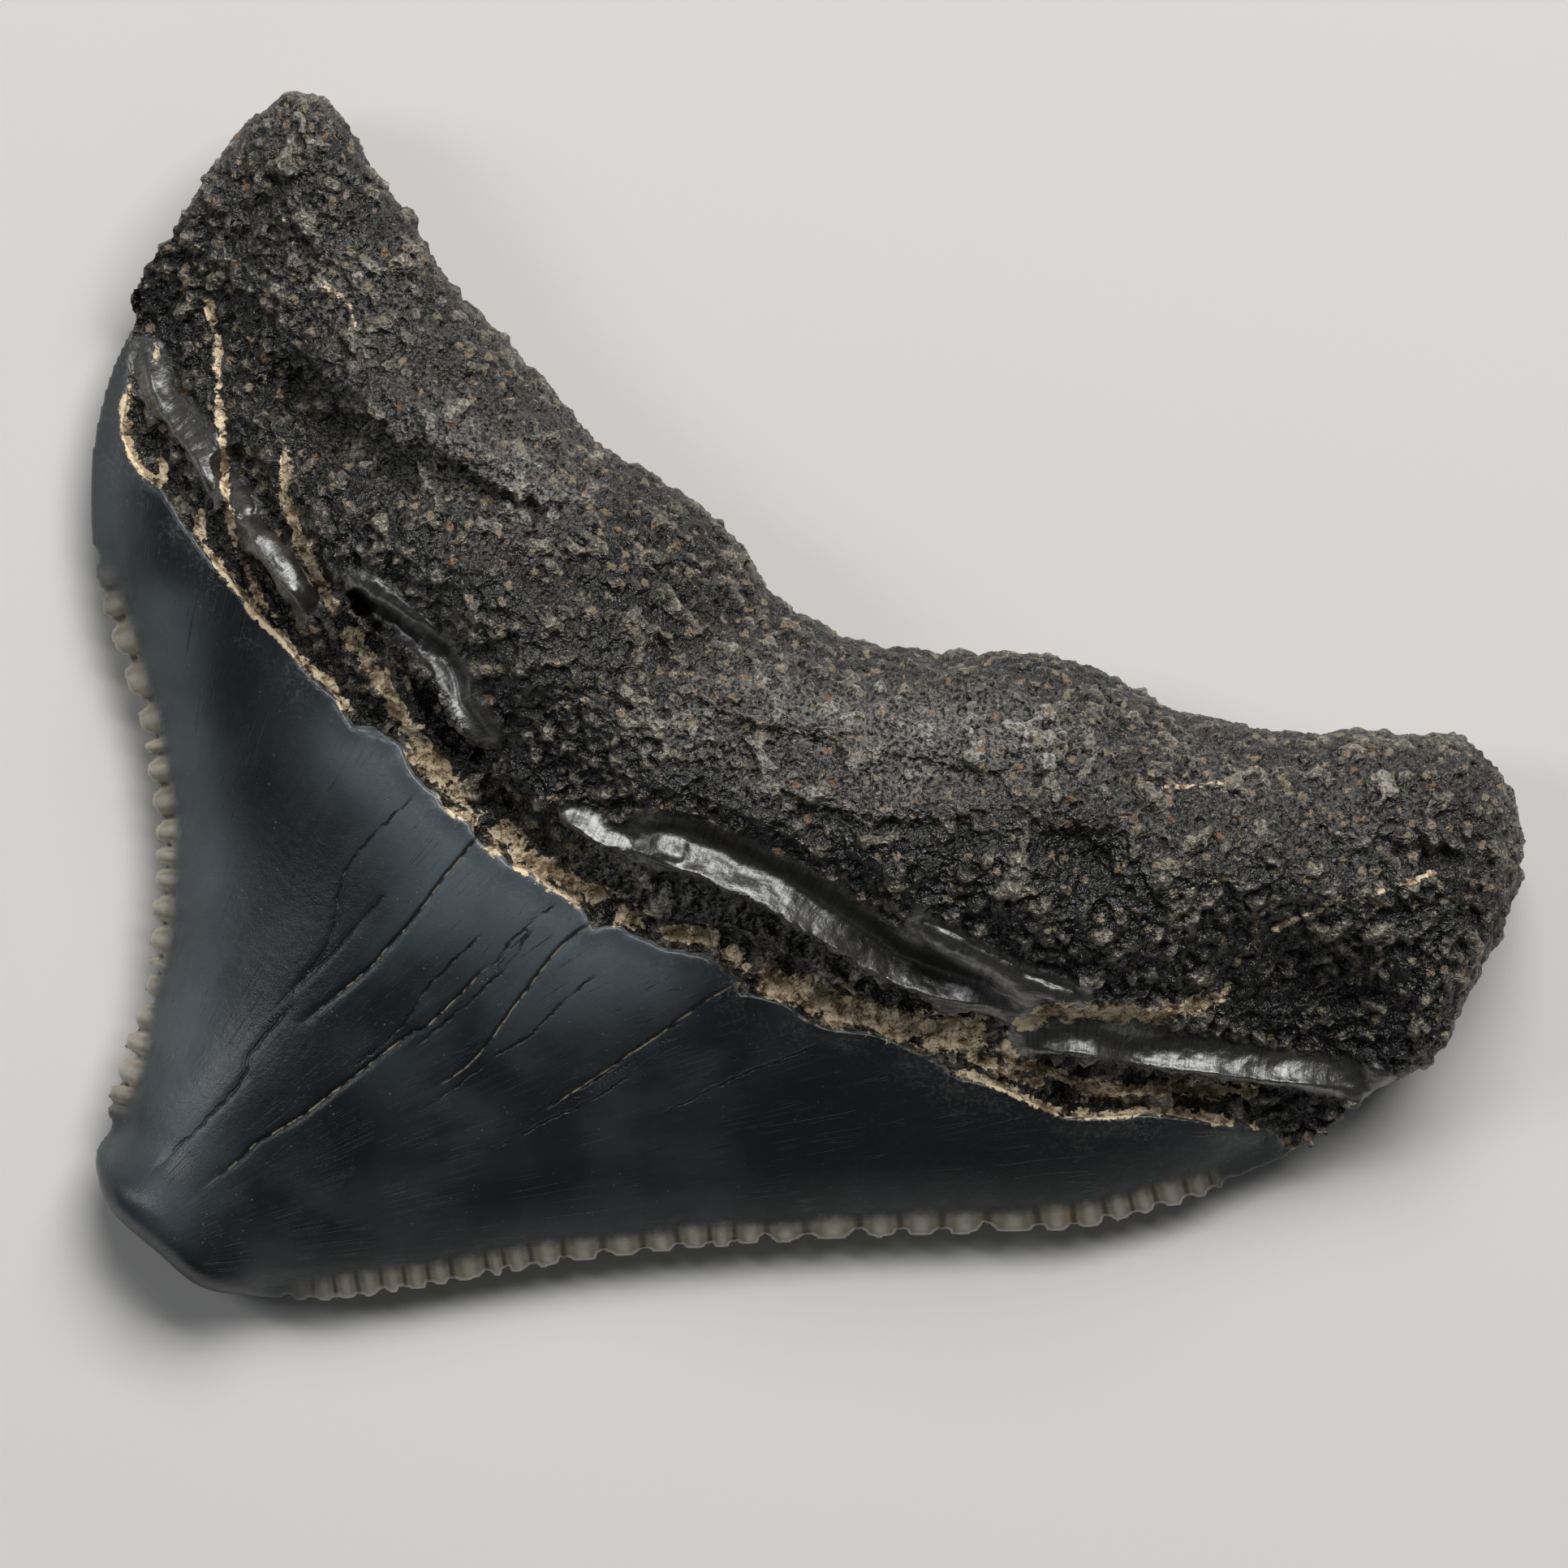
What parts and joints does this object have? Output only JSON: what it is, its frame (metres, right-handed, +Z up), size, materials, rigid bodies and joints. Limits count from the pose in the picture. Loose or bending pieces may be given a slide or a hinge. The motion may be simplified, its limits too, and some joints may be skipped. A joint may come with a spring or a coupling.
{
  "type": "fossil shark tooth",
  "caption": "Fossil megalodon tooth, worn and broken at the tip, with a serrated enamel crown, a dark band under it and a rough two-lobed root, lying on its flatter face.",
  "frame": {"origin": "centre of the bounding box's footprint, at the height of the surface that the tooth lies on", "axes": "+Z up, out of the full tongue-side face; +X from the crown's upper cutting edge towards the blunt root lobe; +Y towards the pointed root lobe"},
  "size_m": [0.0422, 0.0356, 0.0101],
  "materials": {
    "fossil_tooth": "glossy dark enamel over a rough dark root"
  },
  "bodies": {
    "root": {"tooth": "fossil_tooth"}
  },
  "joints": []
}
